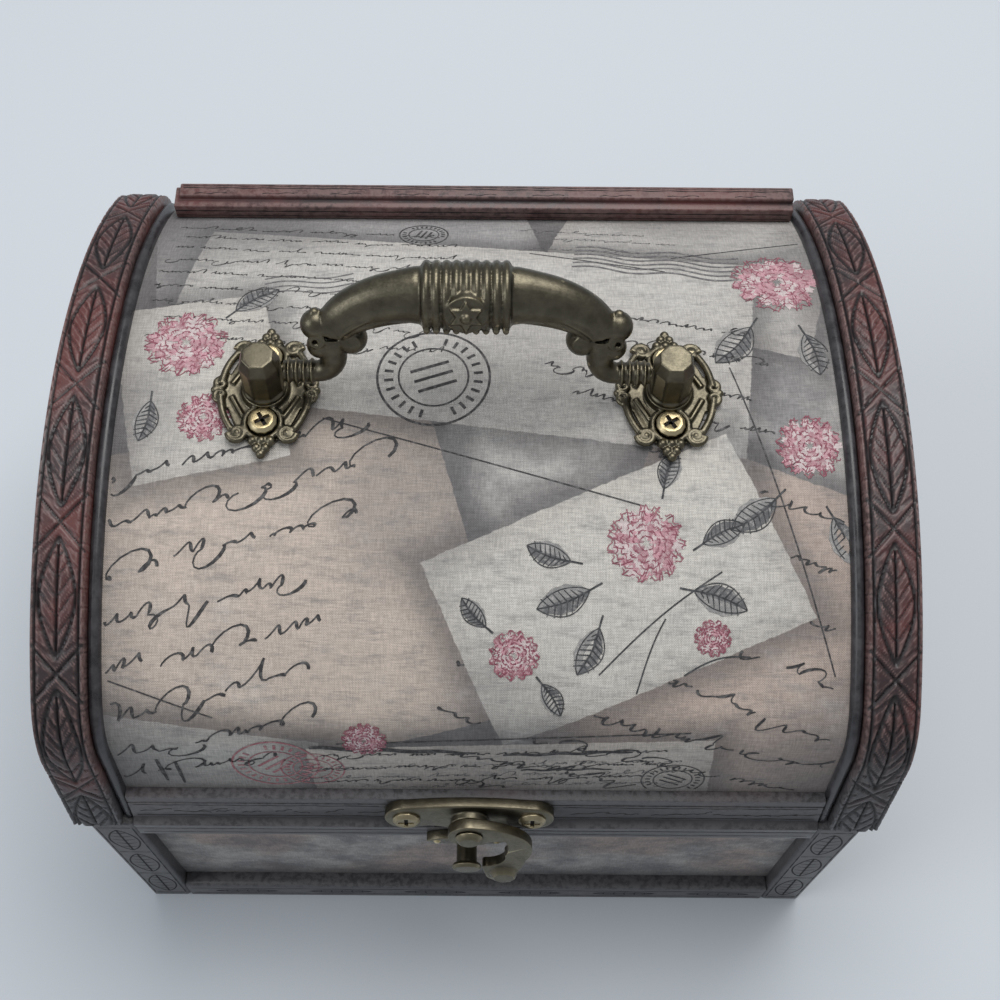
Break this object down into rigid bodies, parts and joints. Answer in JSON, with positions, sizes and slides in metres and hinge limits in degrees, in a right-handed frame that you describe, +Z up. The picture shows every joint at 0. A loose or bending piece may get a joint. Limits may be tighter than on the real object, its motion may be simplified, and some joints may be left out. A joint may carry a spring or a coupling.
{
  "type": "domed keepsake box",
  "caption": "Domed-lid keepsake box clothed in printed linen, framed in carved trim, with a hook latch and a hinged bail handle.",
  "frame": {"origin": "middle of the body's underside, on the surface it stands on", "axes": "+Z up, the front with the latch faces -Y, +X to the right seen from the front"},
  "size_m": [0.187, 0.1728, 0.1707],
  "materials": {
    "board": "plain board",
    "printed_cloth": "fine linen weave with a printed collage",
    "lining": "plain matt lining",
    "carved_trim": "stained reddish brown, carved, worn on its edges",
    "dark_bead": "dark satin half-round bead",
    "bronze": "antique bronze, rubbed bright on its edges",
    "brass": "worn brass"
  },
  "bodies": {
    "body": {"bottom_board": "board", "front_board": "board", "back_board": "board", "left_board": "board", "right_board": "board", "front_body_cloth": "printed_cloth", "back_body_cloth": "printed_cloth", "left_body_cloth": "printed_cloth", "right_body_cloth": "printed_cloth", "body_lining": "lining", "front_bottom_rail": "carved_trim", "back_bottom_rail": "carved_trim", "left_bottom_rail": "carved_trim", "right_bottom_rail": "carved_trim", "front_top_rail": "carved_trim", "back_top_rail": "carved_trim", "left_top_rail": "carved_trim", "right_top_rail": "carved_trim", "front_left_post": "carved_trim", "front_right_post": "carved_trim", "back_left_post": "carved_trim", "back_right_post": "carved_trim", "catch_plate": "bronze", "catch_peg": "bronze", "catch_pins": "brass", "hinge_body_leaves": "brass", "hinge_body_screws": "brass", "hinge_pins": "brass"},
    "lid": {"dome_panel": "board", "dome_cloth": "printed_cloth", "lid_lining": "lining", "lid_front_rail": "carved_trim", "lid_back_rail": "carved_trim", "back_batten": "carved_trim", "left_end_board": "board", "right_end_board": "board", "left_end_cloth": "printed_cloth", "right_end_cloth": "printed_cloth", "left_end_sill": "carved_trim", "right_end_sill": "carved_trim", "left_end_frame": "carved_trim", "right_end_frame": "carved_trim", "left_bead": "dark_bead", "right_bead": "dark_bead", "left_rosette": "bronze", "right_rosette": "bronze", "left_handle_post": "bronze", "right_handle_post": "bronze", "handle_screws": "brass", "latch_plate": "bronze", "latch_rivet": "bronze", "latch_screws": "bronze", "hinge_lid_leaves": "brass", "hinge_lid_screws": "brass"},
    "bail": {"bail_handle": "bronze"},
    "hook": {"latch_hook": "bronze"}
  },
  "joints": [
    {"name": "lid_hinge", "type": "hinge", "parent": "body", "child": "lid", "pos_m": [0, 0.08, 0.0746], "axis": [-1, 0, 0], "range_deg": [0, 96]},
    {"name": "handle_pivot", "type": "hinge", "parent": "lid", "child": "bail", "pos_m": [-0.0025, 0.0003, 0.145], "axis": [1, 0, 0], "range_deg": [-78, 113]},
    {"name": "latch_pivot", "type": "hinge", "parent": "lid", "child": "hook", "pos_m": [-0.0014, -0.0777, 0.08255], "axis": [0, -0.9848, 0.1736], "range_deg": [-9.5, 60]}
  ]
}
